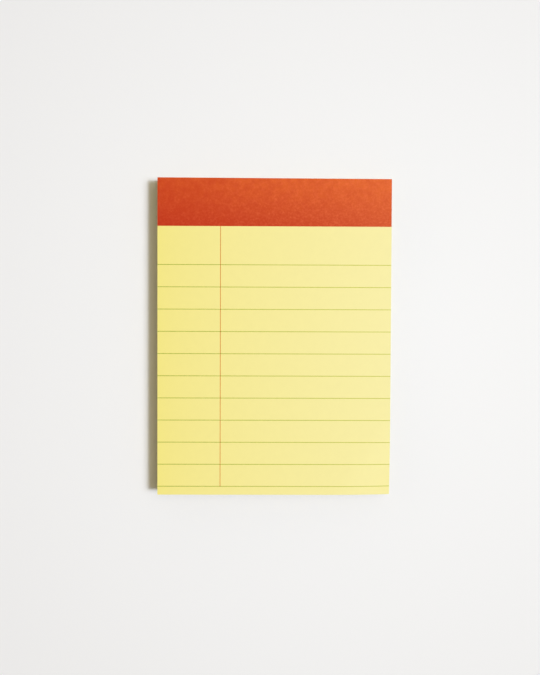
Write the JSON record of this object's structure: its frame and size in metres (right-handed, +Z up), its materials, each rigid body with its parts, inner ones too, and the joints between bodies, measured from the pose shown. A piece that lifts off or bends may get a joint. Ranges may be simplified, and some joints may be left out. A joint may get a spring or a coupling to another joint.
{
  "type": "sticky note pad",
  "caption": "Flat pad of ruled yellow sticky notes with an orange-red printed header band, a red margin line and a plain card backing.",
  "frame": {"origin": "under the middle of the pad, on the surface that it lies on", "axes": "+Z up off the table through the notes, +Y towards the glued edge with the header band, +X to the right as the page is read"},
  "size_m": [0.0752, 0.1022, 0.0103],
  "materials": {
    "yellow_paper": "matte uncoated writing paper, dyed canary yellow",
    "band_ink": "satin pearly orange-red ink on paper, fine grain",
    "rule_ink": "matte green ink on yellow paper",
    "margin_ink": "matte red ink on yellow paper",
    "note_glue": "dull tacky repositionable acrylic glue",
    "backing_card": "smooth uncoated off-white card"
  },
  "bodies": {
    "root": {"note_stack": "yellow_paper", "header_band": "band_ink", "ruled_lines": "rule_ink", "margin_line": "margin_ink", "adhesive_strip": "note_glue", "backing_sheet": "backing_card"}
  },
  "joints": []
}
